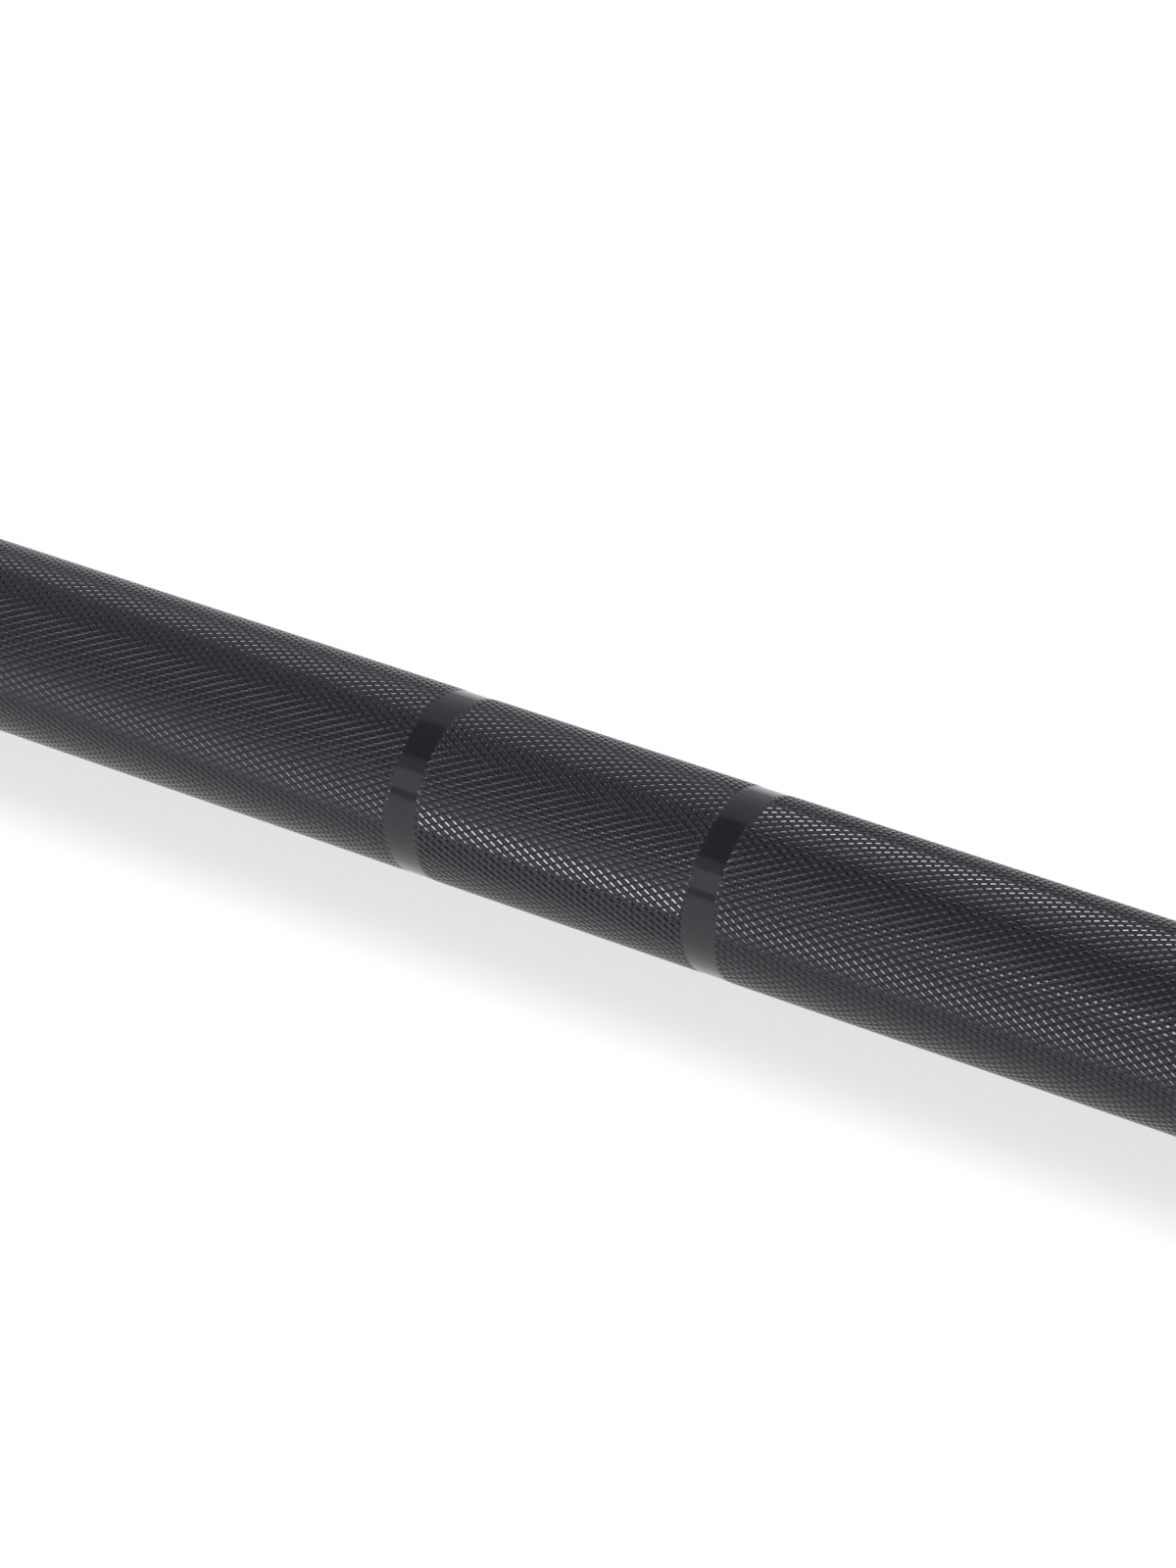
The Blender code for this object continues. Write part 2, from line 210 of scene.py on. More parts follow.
# The room's two darker parts, its ceiling and a corner. Each has the bearing and height of its
# middle in degrees, the cosines of the angles from there at which it starts and is full, and the
# light left in it.
DARK_PARTS = (
    (0, 80.5, (0.78, 0.82), 0.5),
    (31.5, 23, (0.87, 0.93), 0.05),
)

# The floor, whose glow grows from near to far
FLOOR_REACH = 60
FLOOR_COLOUR = (0.40, 0.40, 0.40, 1)
FLOOR_NEAR = 1.2
FLOOR_FAR = 5
FLOOR_GLOW_NEAR = 0.585
FLOOR_GLOW_FAR = 0.80


def add(name, mesh, body):
    """A piece in its place, which rides on its body."""
    piece = bpy.data.objects.new(name, mesh)
    bpy.context.scene.collection.objects.link(piece)
    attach(piece, body)
    return piece


def add_node(tree, kind, inputs=None, **settings):
    """A shader node with its settings, and with its inputs set or linked."""
    made = tree.nodes.new(kind)
    for key, value in settings.items():
        setattr(made, key, value)
    for key, value in (inputs or {}).items():
        if isinstance(value, bpy.types.NodeSocket):
            tree.links.new(value, made.inputs[key])
        else:
            made.inputs[key].default_value = value
    return made


def math_node(tree, operation, first, second=0.0):
    """The number that an operation makes of two."""
    made = add_node(tree, "ShaderNodeMath", {0: first, 1: second}, operation=operation)
    return made.outputs[0]


def vector_node(tree, operation, *vectors):
    """The number that an operation makes of vectors."""
    inputs = dict(enumerate(vectors))
    return add_node(tree, "ShaderNodeVectorMath", inputs, operation=operation).outputs["Value"]


def mapped(tree, value, source, target, **settings):
    """A number, with its source range mapped onto a target range."""
    inputs = {
        "Value": value,
        "From Min": source[0],
        "From Max": source[1],
        "To Min": target[0],
        "To Max": target[1],
    }
    return add_node(tree, "ShaderNodeMapRange", inputs, **settings).outputs["Result"]


def finish_of(name, roughness, metallic=0.0, ior=1.5):
    """A new material, its node tree and its Principled shader."""
    material = bpy.data.materials.new(name)
    material.use_nodes = True
    tree = material.node_tree
    shader = tree.nodes["Principled BSDF"]
    shader.inputs["Roughness"].default_value = roughness
    shader.inputs["Metallic"].default_value = metallic
    shader.inputs["IOR"].default_value = ior
    return material, tree, shader


def between(tree, factor, low, high):
    """A number that runs from low to high over the middle range of a noise."""
    return mapped(tree, factor, NOISE_MIDDLE, (low, high))


def tinted(tree, factor, low, high):
    """A colour that runs from low to high over the middle range of a noise."""
    made = add_node(tree, "ShaderNodeValToRGB", {"Fac": factor})
    for element, place, colour in zip(made.color_ramp.elements, NOISE_MIDDLE, (low, high)):
        element.position = place
        element.color = (*colour, 1)
    return made.outputs["Color"]


def grain(tree, scale, detail=2.0):
    """An even noise in the piece's own space."""
    place = add_node(tree, "ShaderNodeTexCoord").outputs["Object"]
    inputs = {"Vector": place, "Scale": scale, "Detail": detail}
    return add_node(tree, "ShaderNodeTexNoise", inputs).outputs["Fac"]


def turning(tree, scale, detail=2.0):
    """A noise in rings round the bar's axis, as a lathe leaves them on ends and sides."""
    place = add_node(tree, "ShaderNodeTexCoord").outputs["Object"]
    apart = add_node(tree, "ShaderNodeSeparateXYZ", {"Vector": place})
    height = math_node(tree, "SUBTRACT", apart.outputs["Z"], AXIS.z)
    squares = [math_node(tree, "POWER", leg, 2.0) for leg in (apart.outputs["Y"], height)]
    radius = math_node(tree, "SQRT", math_node(tree, "ADD", *squares))
    rings = add_node(tree, "ShaderNodeCombineXYZ", {"X": apart.outputs["X"], "Y": radius})
    inputs = {"Vector": rings.outputs["Vector"], "Scale": scale, "Detail": detail}
    return add_node(tree, "ShaderNodeTexNoise", inputs).outputs["Fac"]


def coloured(tree, shader, tone, roughness):
    """A colour and a roughness that vary, on the shader."""
    tree.links.new(tone, shader.inputs["Base Color"])
    tree.links.new(roughness, shader.inputs["Roughness"])


def bumped(tree, shader, factor, height):
    """Relief of this height on the shader."""
    inputs = {"Height": factor, "Distance": height, "Strength": 1.0}
    bump = add_node(tree, "ShaderNodeBump", inputs)
    tree.links.new(bump.outputs["Normal"], shader.inputs["Normal"])


def black_coat(name, low, high, smooth, rough):
    """A thin bluish black coat, a little uneven in tone and in gloss."""
    material, tree, shader = finish_of(name, smooth, ior=COAT_IOR)
    shader.inputs["Specular Tint"].default_value = COAT_TINT
    tones = [(value, value, value * COAT_BLUE) for value in (low, high)]
    tone = tinted(tree, grain(tree, scale=900, detail=3), *tones)
    roughness = between(tree, grain(tree, scale=2500), smooth, rough)
    coloured(tree, shader, tone, roughness)
    return material


def chrome():
    """Bright hard chrome over turned steel."""
    material, tree, shader = finish_of("chrome", roughness=0.12, metallic=1.0)
    clouds = grain(tree, scale=60, detail=3)
    tone = tinted(tree, clouds, low=(0.55, 0.555, 0.565), high=(0.58, 0.585, 0.595))
    roughness = between(tree, turning(tree, scale=4000), low=0.09, high=0.17)
    coloured(tree, shader, tone, roughness)
    bumped(tree, shader, turning(tree, scale=6000), height=0.0004 * MM)
    return material


def turned_steel():
    """Steel with the rings of its turning left bright."""
    material, tree, shader = finish_of("turned_steel", roughness=0.25, metallic=1.0)
    rings = turning(tree, scale=2500)
    tone = tinted(tree, rings, low=(0.50, 0.50, 0.51), high=(0.62, 0.62, 0.63))
    roughness = between(tree, grain(tree, scale=800), low=0.20, high=0.30)
    coloured(tree, shader, tone, roughness)
    bumped(tree, shader, turning(tree, scale=3000), height=0.002 * MM)
    return material


def ground_steel():
    """Hardened steel with a fine ground face."""
    material, tree, shader = finish_of("ground_steel", roughness=0.32, metallic=1.0)
    clouds = grain(tree, scale=1500, detail=3)
    tone = tinted(tree, clouds, low=(0.38, 0.38, 0.39), high=(0.48, 0.48, 0.49))
    roughness = between(tree, turning(tree, scale=5000), low=0.25, high=0.40)
    coloured(tree, shader, tone, roughness)
    return material


def spring_steel():
    """Stamped spring steel, blackened and oiled."""
    material, tree, shader = finish_of("spring_steel", roughness=0.38, metallic=0.85)
    clouds = grain(tree, scale=700, detail=4)
    tone = tinted(tree, clouds, low=(0.05, 0.05, 0.055), high=(0.11, 0.105, 0.10))
    roughness = between(tree, grain(tree, scale=1800), low=0.30, high=0.46)
    coloured(tree, shader, tone, roughness)
    return material


def bronze():
    """Sintered bronze, its pores darkened by oil."""
    material, tree, shader = finish_of("bronze", roughness=0.35, metallic=1.0)
    pores = grain(tree, scale=2600, detail=5)
    tone = tinted(tree, pores, low=(0.42, 0.25, 0.11), high=(0.66, 0.43, 0.20))
    roughness = between(tree, turning(tree, scale=3500), low=0.28, high=0.44)
    coloured(tree, shader, tone, roughness)
    bumped(tree, shader, grain(tree, scale=3000, detail=3), height=0.01 * MM)
    return material


def rubber():
    """Dull black rubber with a fine moulded grain."""
    material, tree, shader = finish_of("rubber", roughness=0.75)
    clouds = grain(tree, scale=1200, detail=3)
    tone = tinted(tree, clouds, low=(0.014, 0.014, 0.014), high=(0.026, 0.026, 0.026))
    roughness = between(tree, grain(tree, scale=3000), low=0.65, high=0.85)
    coloured(tree, shader, tone, roughness)
    bumped(tree, shader, grain(tree, scale=4000), height=0.02 * MM)
    return material


def on_side(side, section, start=0.0):
    """A section counted outward from this place, set on its side of the bar."""
    return [(side * (start + x), radius) for x, radius in section]


def turned(name, section, material, solid=False, edge=0.0):
    """A section of (x, radius) points, turned round the bar's axis and rounded at its edges."""
    bm = bmesh.new()
    points = [bm.verts.new((x, 0, AXIS.z + radius)) for x, radius in section]
    pairs = list(zip(points, points[1:]))
    if not solid:
        pairs.append((points[-1], points[0]))
    edges = [bm.edges.new(pair) for pair in pairs]
    bmesh.ops.spin(
        bm,
        geom=points + edges,
        cent=AXIS,
        axis=(1, 0, 0),
        angle=math.tau,
        steps=ROUND,
        use_merge=True,
    )
    bmesh.ops.remove_doubles(bm, verts=bm.verts, dist=TURNED_MERGE)
    bmesh.ops.recalc_face_normals(bm, faces=bm.faces)
    if edge:
        corners = [e for e in bm.edges if e.is_manifold and e.calc_face_angle() > SHARP]
        bmesh.ops.bevel(
            bm,
            geom=corners,
            offset=edge,
            segments=EDGE_STEPS,
            profile=0.5,
            affect="EDGES",
            clamp_overlap=True,
        )
    mesh = bpy.data.meshes.new(name)
    bm.to_mesh(mesh)
    bm.free()
    mesh.shade_smooth()
    mesh.set_sharp_from_angle(angle=SHARP)
    mesh.materials.append(material)
    return mesh


class Relief:
    """The knurl's height, from the crest down, and its slopes over one diamond."""

    def __init__(self, length, halves):
        self.length = length
        breadth = math.tau * CREST_RADIUS / DIAMONDS_ROUND
        pitch = 1 / math.hypot(1 / length, 1 / breadth)
        rounding = KNURL_ROUNDING / pitch
        self.stations = [self.places_over(half / pitch, rounding) for half in halves]
        share = np.arange(RELIEF_STEPS) / RELIEF_STEPS
        away = pitch * np.minimum(share, 1 - share)
        ahead, back = (np.clip(1 - away / half, 0, 1) for half in halves)
        sharp = -GROOVE_DEPTH * np.maximum(ahead[:, None], back[None, :])
        wave = np.fft.fftfreq(RELIEF_STEPS, 1 / RELIEF_STEPS)
        along = (wave[:, None] - wave[None, :]) / length
        around = (wave[:, None] + wave[None, :]) / breadth
        blur = np.exp(-2 * (math.pi * KNURL_ROUNDING) ** 2 * (along**2 + around**2))
        waves = np.fft.fft2(sharp) * blur
        height = np.fft.ifft2(waves).real
        slopes = [np.fft.ifft2(math.tau * 1j * way * waves).real for way in (along, around)]
        self.tables = (height - height.max(), *slopes)

    @staticmethod
    def places_over(half, rounding):
        """Stations over one groove, where its slope turns: its foot, its shoulder and its rim."""
        foot = min(FOOT_OUT * rounding, half / 2)
        shoulder = half - SHOULDER_IN * rounding
        rim = half + RIM_OUT * rounding
        places = [foot, rim] if shoulder < foot + rounding else [foot, shoulder, rim]
        return np.array(places + [1 - place for place in reversed(places)])

    def at(self, x, angle):
        """The height, the slope along the bar and the slope round it, at these points."""
        turns = angle * DIAMONDS_ROUND / math.tau
        ahead = np.rint((turns + x / self.length) * RELIEF_STEPS).astype(int) % RELIEF_STEPS
        back = np.rint((turns - x / self.length) * RELIEF_STEPS).astype(int) % RELIEF_STEPS
        return [table[ahead, back] for table in self.tables]


class Knurl:
    """A stretch of one field, as a net with stations on both flanks of every groove."""

    def __init__(self, field, rows, relief):
        self.start, self.stop = field
        self.relief = relief
        self.row, self.turn = self.cells(*rows)
        self.first = rows[0] - 1
        self.made_row, self.made_turn = self.cells(rows[0] - 1, rows[1] + 1)

    @staticmethod
    def cells(first, last):
        """The row and the turn of each cell in these rows."""
        grids = np.meshgrid(np.arange(first, last), np.arange(DIAMONDS_ROUND), indexing="ij")
        return [grid.ravel() for grid in grids]

    def points(self):
        """Every point's distance along the bar and angle round it."""
        ahead_stations, back_stations = self.relief.stations
        ahead = (self.made_row + self.made_turn)[:, None, None] + ahead_stations[:, None]
        back = self.made_turn[:, None, None] + back_stations
        x = (ahead - back) / 2 * self.relief.length
        angle = (ahead + back) / 2 * math.tau / DIAMONDS_ROUND
        return np.clip(x, self.start, self.stop).ravel(), angle.ravel()

    def inside(self, x):
        """How much of the relief is there: it fades out toward the field's ends."""
        return np.clip(np.minimum(x - self.start, self.stop - x) / KNURL_FADE, 0, 1)

    def places(self, x, angle, side):
        """Where the points at these distances and angles lie, on this side of the bar."""
        inside = self.inside(x)
        crest = MARK_RADIUS + (CREST_RADIUS - MARK_RADIUS) * inside
        radius = crest + self.relief.at(x, angle)[0] * inside
        height = AXIS.z + radius * np.sin(angle)
        return np.stack([side * x, radius * np.cos(angle), height], -1)

    def normals(self, places, side):
        """The relief's own normals, which show its flanks rounded between the stations."""
        x = side * places[:, 0]
        angle = np.arctan2(places[:, 2] - AXIS.z, places[:, 1])
        along, around = (slope * self.inside(x) for slope in self.relief.at(x, angle)[1:])
        cos, sin = np.cos(angle), np.sin(angle)
        made = np.stack([-side * along, cos + around * sin, sin - around * cos], -1)
        return made / np.linalg.norm(made, axis=1)[:, None]

    def number(self, i, j):
        """Each cell's point at station i ahead and j back, counted on into the next cells."""
        counts = [len(stations) for stations in self.relief.stations]
        ahead, i = divmod(i, counts[0])
        back, j = divmod(j, counts[1])
        row = self.row - self.first + ahead - back
        turn = (self.turn + back) % DIAMONDS_ROUND
        return ((row * DIAMONDS_ROUND + turn) * counts[0] + i) * counts[1] + j

    def faces(self, x):
        """The net's faces, without those that the field's ends cut down to nothing."""
        made = []
        for i in range(len(self.relief.stations[0])):
            for j in range(len(self.relief.stations[1])):
                corners = ((i, j), (i + 1, j), (i + 1, j + 1), (i, j + 1))
                made.append(np.stack([self.number(*corner) for corner in corners], -1))
        made = np.concatenate(made)
        return made[np.ptp(x[made], axis=1) > NO_LENGTH]


def close_ends(bm):
    """Fans of triangles over the open rims at both ends."""
    rims = [edge for edge in bm.edges if edge.is_boundary]
    middle = [(edge.verts[0].co.x + edge.verts[1].co.x) / 2 for edge in rims]
    halfway = (min(middle) + max(middle)) / 2
    for beyond in (False, True):
        chosen = [(edge, x) for edge, x in zip(rims, middle) if (x > halfway) == beyond]
        centre = bm.verts.new((sum(x for _, x in chosen) / len(chosen), 0, AXIS.z))
        for edge, _ in chosen:
            bm.faces.new((*edge.verts, centre))
    bmesh.ops.recalc_face_normals(bm, faces=bm.faces)


def values_of(items, attribute, kind, width=1):
    """Every item's value of one attribute, in one flat array."""
    values = np.empty(len(items) * width, kind)
    items.foreach_get(attribute, values)
    return values


def places_of(mesh):
    """The places of a mesh's points, one in each row."""
    return values_of(mesh.vertices, "co", float, 3).reshape(-1, 3)


def wrap_map(mesh, start, stop):
    """A map round the bar and along it."""
    corners = values_of(mesh.loops, "vertex_index", int)
    firsts = values_of(mesh.polygons, "loop_start", int)
    counts = values_of(mesh.polygons, "loop_total", int)
    x, y, z = places_of(mesh)[corners].T
    turns = np.arctan2(z - AXIS.z, y) / math.tau
    first = np.repeat(turns[firsts], counts)
    turns -= np.rint(turns - first)
    around = (turns + 0.5 + WRAP_MARGIN) / (1 + 2 * WRAP_MARGIN)
    along = (np.abs(x) - start) / (stop - start)
    mesh.uv_layers.new(name="OFBake")
    mesh.uv_layers[0].uv.foreach_set("vector", np.stack([around, along], -1).ravel())


def knurled(name, knurl, side, material):
    """A closed mesh of one stretch of knurl."""
    x, angle = knurl.points()
    faces = knurl.faces(x)
    used, faces = np.unique(faces, return_inverse=True)
    mesh = bpy.data.meshes.new(name)
    places = knurl.places(x, angle, side)[used]
    mesh.from_pydata(places.tolist(), [], faces.reshape(-1, 4).tolist())
    bm = bmesh.new()
    bm.from_mesh(mesh)
    bmesh.ops.remove_doubles(bm, verts=bm.verts, dist=KNURL_MERGE)
    close_ends(bm)
    bm.to_mesh(mesh)
    bm.free()
    mesh.shade_smooth()
    mesh.normals_split_custom_set_from_vertices(knurl.normals(places_of(mesh), side))
    wrap_map(mesh, knurl.start, knurl.stop)
    mesh.materials.append(material)
    return mesh


def knurl_fields():
    """Where the knurled fields of one side start and stop: everywhere but at the marks."""
    stops = [KNURL_START]
    for place in MARK_PLACES:
        stops += [place - MARK_WIDTH / 2, place + MARK_WIDTH / 2]
    stops.append(KNURL_END)
    return list(zip(stops[::2], stops[1::2]))


def knurl_stretches():
    """Each field of one side as stretches of whole rows, cut short of too many faces."""
    stretches = []
    for field, (length, *halves) in zip(knurl_fields(), FIELDS):
        relief = Relief(length, halves)
        first = math.floor(2 * field[0] / length) - SPARE_ROWS
        last = math.ceil(2 * field[1] / length) + SPARE_ROWS
        faces = math.prod(len(places) for places in relief.stations)
        pieces = math.ceil((last - first) * DIAMONDS_ROUND * faces / MOST_FACES)
        cuts = [first + (last - first) * cut // pieces for cut in range(pieces + 1)]
        stretches += [Knurl(field, rows, relief) for rows in zip(cuts, cuts[1:])]
    return stretches


def grip_centre(material):
    """The smooth middle, which stands for the whole shaft in the frame."""
    half = [
        (KNURL_START - STEP_DOWN, SMOOTH_RADIUS),
        (KNURL_START, MARK_RADIUS),
        (KNURL_START, 0),
    ]
    section = [(-x, radius) for x, radius in reversed(half)] + half
    mesh = turned("grip_centre", section, material, solid=True)
    piece = add("grip_centre", mesh, "shaft")
    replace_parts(piece, "shaft")


def mark_section(place):
    """One mark ring, a plain band below the knurl's crests."""
    start = place - MARK_WIDTH / 2
    stop = place + MARK_WIDTH / 2
    return [(start, 0), (start, MARK_RADIUS), (stop, MARK_RADIUS), (stop, 0)]


def journal_section():
    """The shaft from its knurl to its end, with the groove for its snap ring."""
    groove_start = SHAFT_RING_LOW.x - GAP
    groove_stop = SHAFT_RING_HIGH.x + GAP
    return [
        (KNURL_END, 0),
        (KNURL_END, MARK_RADIUS),
        (KNURL_END + STEP_DOWN, SMOOTH_RADIUS),
        (SHOULDER, SMOOTH_RADIUS),
        (SHOULDER, JOURNAL_RADIUS),
        (groove_start, JOURNAL_RADIUS),
        (groove_start, RING_GROOVE_RADIUS),
        (groove_stop, RING_GROOVE_RADIUS),
        (groove_stop, JOURNAL_RADIUS),
        (SHAFT_END - JOURNAL_CHAMFER, JOURNAL_RADIUS),
        (SHAFT_END, JOURNAL_RADIUS - JOURNAL_CHAMFER),
        (SHAFT_END, 0),
    ]


def shaft():
    """The shaft as a row of closed lengths: smooth, knurled and marked."""
    coat = black_coat("black_coat", low=0.002, high=0.005, smooth=0.08, rough=0.12)
    knurl_coat = black_coat("knurl_coat", low=0.004, high=0.008, smooth=0.08, rough=0.11)
    grip_centre(coat)
    for side, word in SIDES:
        for count, knurl in enumerate(knurl_stretches(), 1):
            name = f"{word}_knurl_{count}"
            add(name, knurled(name, knurl, side, knurl_coat), "shaft")
        for count, place in enumerate(MARK_PLACES, 1):
            name = f"{word}_mark_{count}"
            section = on_side(side, mark_section(place))
            add(name, turned(name, section, coat, solid=True), "shaft")
        name = f"{word}_journal"
        section = on_side(side, journal_section())
        mesh = turned(name, section, coat, solid=True, edge=JOURNAL_EDGE)
        add(name, mesh, "shaft")


def collar_section():
    """The collar, with a groove round it, a pocket for its seal and a socket for the sleeve."""
    middle = COLLAR_WIDTH / 2
    width, depth = COLLAR_GROOVE
    return [
        (0, COLLAR_MOUTH),
        (0, COLLAR_RADIUS - INBOARD_CHAMFER),
        (INBOARD_CHAMFER, COLLAR_RADIUS),
        (middle - width / 2, COLLAR_RADIUS),
        (middle - width / 2 + depth, COLLAR_RADIUS - depth),
        (middle + width / 2 - depth, COLLAR_RADIUS - depth),
        (middle + width / 2, COLLAR_RADIUS),
        (COLLAR_WIDTH - OUTBOARD_CHAMFER, COLLAR_RADIUS),
        (COLLAR_WIDTH, COLLAR_RADIUS - OUTBOARD_CHAMFER),
        (COLLAR_WIDTH, SOCKET_RADIUS),
        (SOCKET_X, SOCKET_RADIUS),
        (SOCKET_X, SPIGOT_RADIUS + GAP),
        (WEB_X, SPIGOT_RADIUS + GAP),
        (WEB_X, SEAL_POCKET),
        (COLLAR_LIP, SEAL_POCKET),
        (COLLAR_LIP, COLLAR_MOUTH),
    ]


def sleeve_section():
    """The sleeve, with its spigot in the collar, its bushings' seats and its cap's mouth."""
    run, drop = SLEEVE_CHAMFER
    spigot = SLEEVE_LOW.x - HUB_X
    groove_start = CAP_RING_LOW.x - HUB_X - GAP
    groove_stop = CAP_RING_HIGH.x - HUB_X + GAP
    return [
        (spigot, BUSHING_SEAT),
        (spigot, SPIGOT_RADIUS - SPIGOT_CHAMFER),
        (spigot + SPIGOT_CHAMFER, SPIGOT_RADIUS),
        (SOCKET_X + GAP, SPIGOT_RADIUS),
        (SOCKET_X + GAP, SLEEVE_RADIUS),
        (SLEEVE_END - run, SLEEVE_RADIUS),
        (SLEEVE_END, SLEEVE_RADIUS - drop),
        (SLEEVE_END, CAP_BORE + MOUTH_CHAMFER),
        (SLEEVE_END - MOUTH_CHAMFER, CAP_BORE),
        (groove_stop, CAP_BORE),
        (groove_stop, CAP_RING_GROOVE),
        (groove_start, CAP_RING_GROOVE),
        (groove_start, CAP_BORE),
        (CAP_SEAT, CAP_BORE),
        (CAP_SEAT, CHAMBER),
        (OUTER_SEAT, CHAMBER),
        (OUTER_SEAT, BUSHING_BORE),
        (INNER_SEAT, BUSHING_BORE),
        (INNER_SEAT, BUSHING_SEAT),
    ]


def cap_section():
    """A flange behind the snap ring, and a boss with a shallow dish."""
    start = CAP_LOW.x - HUB_X
    stop = CAP_HIGH.x - HUB_X
    return [
        (start, 0),
        (start, CAP_RADIUS - CAP_EDGE),
        (start + CAP_EDGE, CAP_RADIUS),
        (start + CAP_FLANGE, CAP_RADIUS),
        (start + CAP_FLANGE, CAP_BOSS),
        (stop - CAP_EDGE, CAP_BOSS),
        (stop, CAP_BOSS - CAP_EDGE),
        (stop, CAP_DISH),
        (stop - CAP_DISH_DEPTH, CAP_DISH - CAP_DISH_DEPTH),
        (stop - CAP_DISH_DEPTH, 0),
    ]


def seal_section():
    """A ring that tapers to a lip on the shaft."""
    start = SEAL_LOW.x - HUB_X
    stop = SEAL_HIGH.x - HUB_X
    return [
        (start, SEAL_LIP),
        (start, SEAL_RADIUS),
        (stop, SEAL_RADIUS),
        (stop, SEAL_BACK),
        (start + SEAL_LIP_WIDTH, SEAL_LIP),
    ]


def lug_arc(seat, side):
    """The centre of one lug, and its rounded end from the ring's gap to the ring's inner edge."""
    centre = Vector((side * (RING_GAP / 2 + LUG_RADIUS), seat - LUG_REACH))
    arc = []
    for step in range(LUG_STEPS + 1):
        angle = math.pi + (LUG_TURN_END - math.pi) * step / LUG_STEPS
        arc.append(centre + LUG_RADIUS * Vector((side * math.cos(angle), -math.sin(angle))))
    return centre, arc


def ring_outline(seat):
    """The cap's snap ring, from its seat edge to an inner edge that swells toward the back."""
    half_gap = math.asin(RING_GAP / 2 / seat)
    right_eye, right_lug = lug_arc(seat, 1)
    left_eye, left_lug = lug_arc(seat, -1)
    free_start = math.atan2(right_lug[-1].x, right_lug[-1].y) + LUG_BLEND
    outline = []
    for step in range(RING_STEPS + 1):
        angle = -half_gap - (math.tau - 2 * half_gap) * step / RING_STEPS
        outline.append(seat * Vector((math.sin(angle), math.cos(angle))))
    outline += right_lug
    for step in range(RING_STEPS + 1):
        angle = free_start + (math.tau - 2 * free_start) * step / RING_STEPS
        swell = (1 - math.cos(angle)) / 2
        radius = seat - RING_FRONT_WIDTH - (RING_BACK_WIDTH - RING_FRONT_WIDTH) * swell
        outline.append(radius * Vector((math.sin(angle), math.cos(angle))))
    outline += reversed(left_lug)
    return outline, (left_eye, right_eye)


def flat_spline(curve, points):
    """A closed line through these points, on a flat curve."""
    spline = curve.splines.new("POLY")
    spline.points.add(len(points) - 1)
    for target, point in zip(spline.points, points):
        target.co = (point.x, point.y, 0, 1)
    spline.use_cyclic_u = True


def snap_ring_mesh(name, side, material):
    """The cap's snap ring in its groove, with an eye in each lug and softened edges."""
    thickness = CAP_RING_HIGH.x - CAP_RING_LOW.x
    outline, eyes = ring_outline(CAP_RING_HIGH.y - RING_EDGE)
    curve = bpy.data.curves.new(name, "CURVE")
    curve.dimensions = "2D"
    curve.fill_mode = "BOTH"
    curve.extrude = thickness / 2 - RING_EDGE
    curve.bevel_depth = RING_EDGE
    curve.bevel_resolution = EDGE_STEPS
    flat_spline(curve, outline)
    radius = EYE_RADIUS + RING_EDGE
    angles = [math.tau * step / EYE_STEPS for step in range(EYE_STEPS)]
    for eye in eyes:
        flat_spline(curve, [eye + radius * Vector((math.cos(a), math.sin(a))) for a in angles])
    shape = bpy.data.objects.new(name, curve)
    mesh = bpy.data.meshes.new_from_object(shape)
    bpy.data.objects.remove(shape)
    middle = (CAP_RING_LOW.x + CAP_RING_HIGH.x) / 2
    turn = Matrix(((0, 0, 1, side * middle), (1, 0, 0, 0), (0, 1, 0, AXIS.z), (0, 0, 0, 1)))
    mesh.transform(turn)
    bm = bmesh.new()
    bm.from_mesh(mesh)
    bmesh.ops.remove_doubles(bm, verts=bm.verts, dist=RING_MERGE)
    bmesh.ops.recalc_face_normals(bm, faces=bm.faces)
    bm.to_mesh(mesh)
    bm.free()
    mesh.shade_smooth()
    mesh.set_sharp_from_angle(angle=SHARP)
    mesh.materials.clear()
    mesh.materials.append(material)
    return mesh


def sleeves():
    """The turning ends. What shows of each is made anew, and the bearings keep their shapes."""
    bright = chrome()
    # Each has its section, whether that ends on the axis, its edges' rounding, finish and slot
    turned_pieces = (
        ("collar", collar_section(), False, 0.25 * MM, bright, "sleeve_chrome"),
        ("sleeve", sleeve_section(), False, 0.15 * MM, bright, "sleeve_chrome"),
        ("end_cap", cap_section(), True, 0.12 * MM, turned_steel(), "cap_steel"),
        ("dust_seal", seal_section(), False, 0.15 * MM, rubber(), "seal_rubber"),
    )
    spring = spring_steel()
    inside = {"bushing": bronze(), "washer": ground_steel(), "shaft_snap_ring": spring}
    for side, word in SIDES:
        body = word + "_sleeve"
        for part, section, solid, edge, material, slot in turned_pieces:
            name = f"{word}_fine_{part}"
            placed = on_side(side, section, start=HUB_X)
            mesh = turned(name, placed, material, solid=solid, edge=edge)
            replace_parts(add(name, mesh, body), f"{word}_{part}")
        name = f"{word}_fine_cap_ring"
        ring = add(name, snap_ring_mesh(name, side, spring), body)
        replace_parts(ring, f"{word}_cap_snap_ring")
    for name, piece in frame["nodes"].items():
        for ending, material in inside.items():
            if name.endswith(ending):
                piece.data.materials.clear()
                piece.data.materials.append(material)


def toward(bearing, height):
    """The direction at this bearing, counted from -Y toward +X, and at this height."""
    flat = math.cos(height)
    return Vector((math.sin(bearing) * flat, -math.cos(bearing) * flat, math.sin(height)))


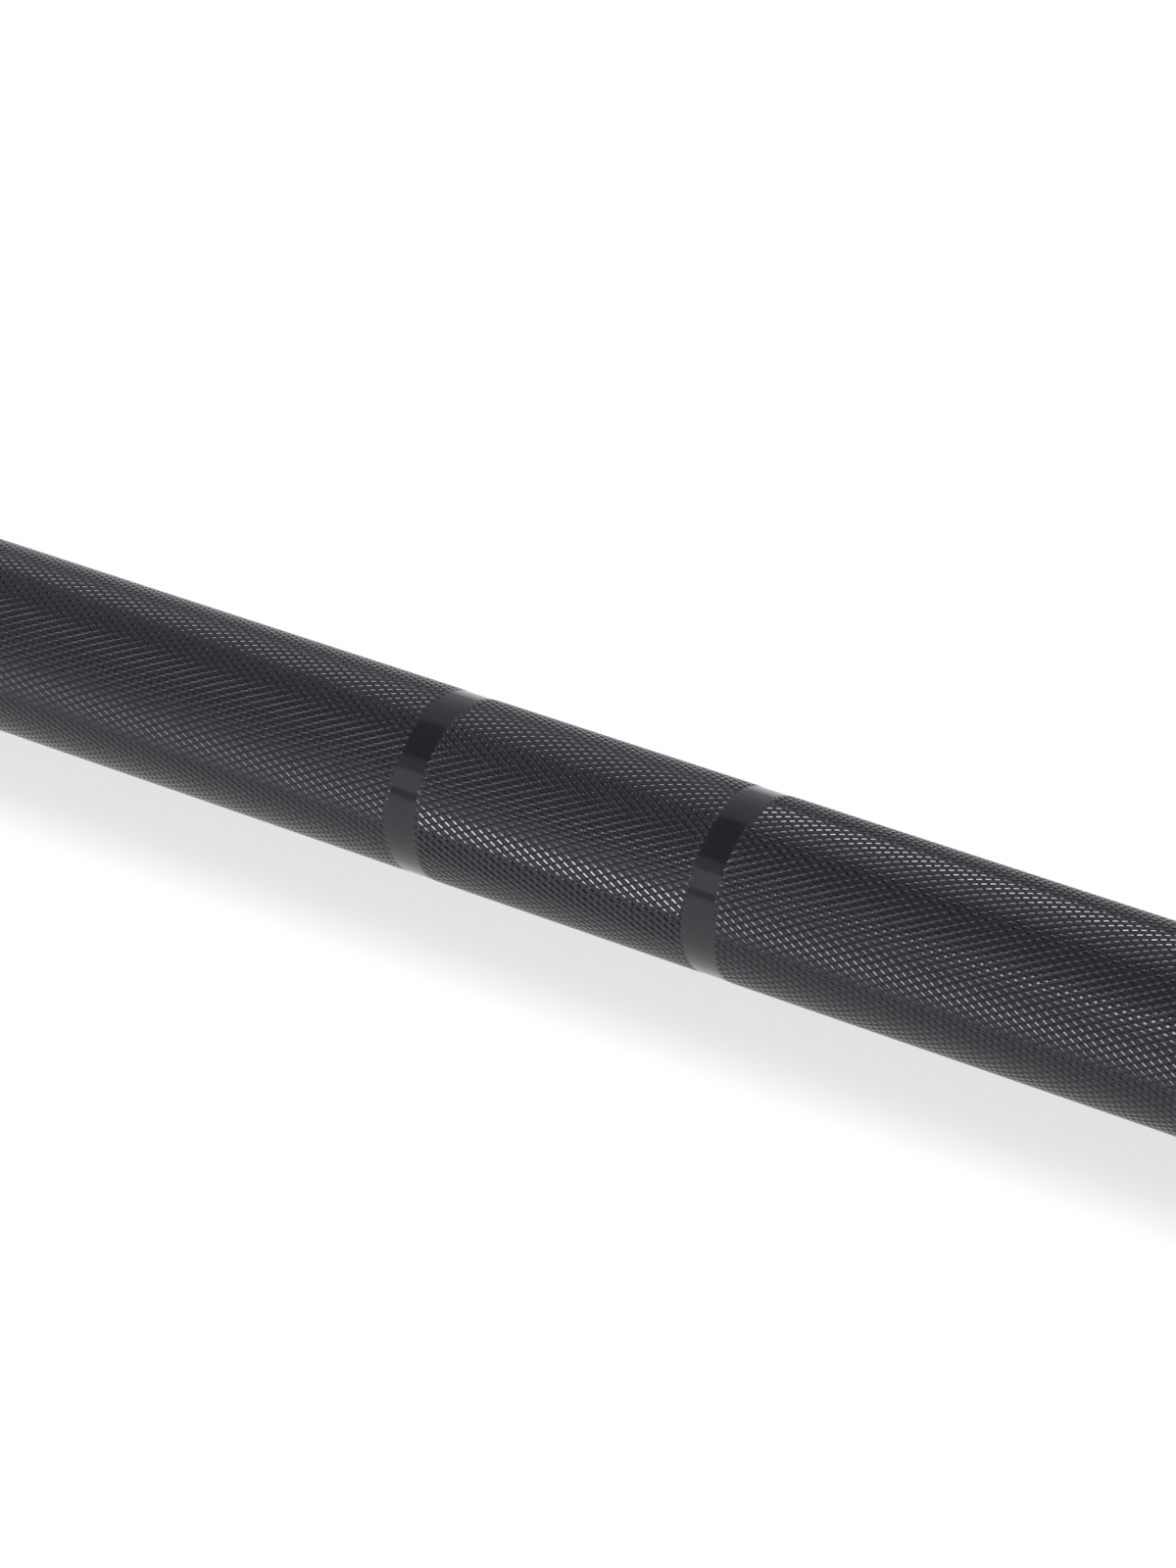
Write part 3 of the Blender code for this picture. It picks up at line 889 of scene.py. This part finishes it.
def camera():
    """The photograph's view."""
    data = bpy.data.cameras.new("camera")
    data.lens = CAMERA_LENS
    seen = bpy.data.objects.new("camera", data)
    bpy.context.scene.collection.objects.link(seen)
    seen.location = CAMERA_PLACE
    ahead = -toward(CAMERA_BEARING, CAMERA_HEIGHT)
    seen.rotation_euler = ahead.to_track_quat("-Z", "Y").to_euler()
    bpy.context.scene.camera = seen


def softbox(name, bearing, height, size, radiance, colour):
    """A flat lamp that faces the grip, by the radiance of its face."""
    width, breadth = size
    data = bpy.data.lights.new(name, "AREA")
    data.shape = "RECTANGLE"
    data.size = width
    data.size_y = breadth
    data.energy = radiance * math.pi * width * breadth
    data.color = colour
    lamp = bpy.data.objects.new(name, data)
    bpy.context.scene.collection.objects.link(lamp)
    away = toward(math.radians(bearing), math.radians(height))
    lamp.location = LAMP_AIM + away * LAMP_DISTANCE
    lamp.rotation_euler = (-away).to_track_quat("-Z", "Y").to_euler()


def dimmed(tree, direction, bearing, height, cosines, left):
    """The light left in a darker part of the room, and 1 all round it."""
    middle = toward(math.radians(bearing), math.radians(height))
    return mapped(tree, vector_node(tree, "DOT_PRODUCT", direction, middle), cosines, (1.0, left))


def world():
    """A pale room to light the bar, which the camera itself sees as white."""
    made = bpy.data.worlds.new("studio")
    bpy.context.scene.world = made
    made.use_nodes = True
    tree = made.node_tree
    tree.nodes.clear()
    direction = add_node(tree, "ShaderNodeTexCoord").outputs["Generated"]
    apart = add_node(tree, "ShaderNodeSeparateXYZ", {"Vector": direction})
    by_height = add_node(tree, "ShaderNodeValToRGB", {"Fac": apart.outputs["Z"]})
    for _ in ROOM[2:]:
        by_height.color_ramp.elements.new(1.0)
    for element, (place, value) in zip(by_height.color_ramp.elements, ROOM):
        element.position = place
        element.color = (*(value * tint for tint in ROOM_TINT), 1)
    strength = 1.0
    for part in DARK_PARTS:
        strength = math_node(tree, "MULTIPLY", strength, dimmed(tree, direction, *part))
    inputs = {"Color": by_height.outputs["Color"], "Strength": strength}
    room = add_node(tree, "ShaderNodeBackground", inputs)
    white = add_node(tree, "ShaderNodeBackground", {"Color": (1, 1, 1, 1), "Strength": 1.0})
    path = add_node(tree, "ShaderNodeLightPath")
    inputs = {0: path.outputs["Is Camera Ray"], 1: room.outputs[0], 2: white.outputs[0]}
    mixed = add_node(tree, "ShaderNodeMixShader", inputs)
    add_node(tree, "ShaderNodeOutputWorld", {"Surface": mixed.outputs[0]})


def floor():
    """A pale floor. It glows white for the eye and in reflections, and keeps the bar's shadow."""
    bm = bmesh.new()
    bmesh.ops.create_grid(bm, x_segments=1, y_segments=1, size=FLOOR_REACH)
    mesh = bpy.data.meshes.new("floor")
    bm.to_mesh(mesh)
    bm.free()
    material = bpy.data.materials.new("floor")
    material.use_nodes = True
    tree = material.node_tree
    tree.nodes.clear()
    path = add_node(tree, "ShaderNodeLightPath").outputs
    seen = path["Is Camera Ray"]
    for ray in ("Is Glossy Ray", "Is Transmission Ray"):
        seen = math_node(tree, "ADD", seen, path[ray])
    place = add_node(tree, "ShaderNodeNewGeometry").outputs["Position"]
    away = vector_node(tree, "LENGTH", place)
    distances = (FLOOR_NEAR, FLOOR_FAR)
    glows = (FLOOR_GLOW_NEAR, FLOOR_GLOW_FAR)
    strength = mapped(tree, away, distances, glows, interpolation_type="SMOOTHSTEP")
    strength = math_node(tree, "MULTIPLY", seen, strength)
    glow = add_node(tree, "ShaderNodeEmission", {"Strength": strength})
    matt = add_node(tree, "ShaderNodeBsdfDiffuse", {"Color": FLOOR_COLOUR})
    both = add_node(tree, "ShaderNodeAddShader", {0: matt.outputs[0], 1: glow.outputs[0]})
    add_node(tree, "ShaderNodeOutputMaterial", {"Surface": both.outputs[0]})
    mesh.materials.append(material)
    ground = bpy.data.objects.new("floor", mesh)
    bpy.context.scene.collection.objects.link(ground)


shaft()
sleeves()
camera()
for lamp in LAMPS:
    softbox(*lamp)
world()
floor()
bpy.context.scene.view_settings.view_transform = "Standard"
